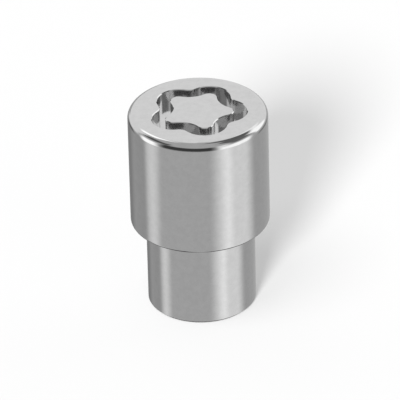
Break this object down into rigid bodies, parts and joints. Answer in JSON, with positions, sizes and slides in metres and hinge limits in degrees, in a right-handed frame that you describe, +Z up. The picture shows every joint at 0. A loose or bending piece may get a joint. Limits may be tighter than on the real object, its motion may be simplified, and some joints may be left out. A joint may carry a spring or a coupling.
{
  "type": "locking wheel nut",
  "caption": "Chromed stepped cylinder: a round-rimmed head with a wavy key groove in its top, a plain shank and a blind threaded stud hole; locks a car wheel on its stud.",
  "frame": {"origin": "centre of the shank's end face, which the nut stands on", "axes": "+Z up along the nut's axis, from the shank's end to the grooved top face; -Y is the side that faces the picture's camera"},
  "size_m": [0.0222, 0.0222, 0.0343],
  "materials": {
    "chromed_steel": "polished"
  },
  "bodies": {
    "root": {"nut_body": "chromed_steel"}
  },
  "joints": []
}
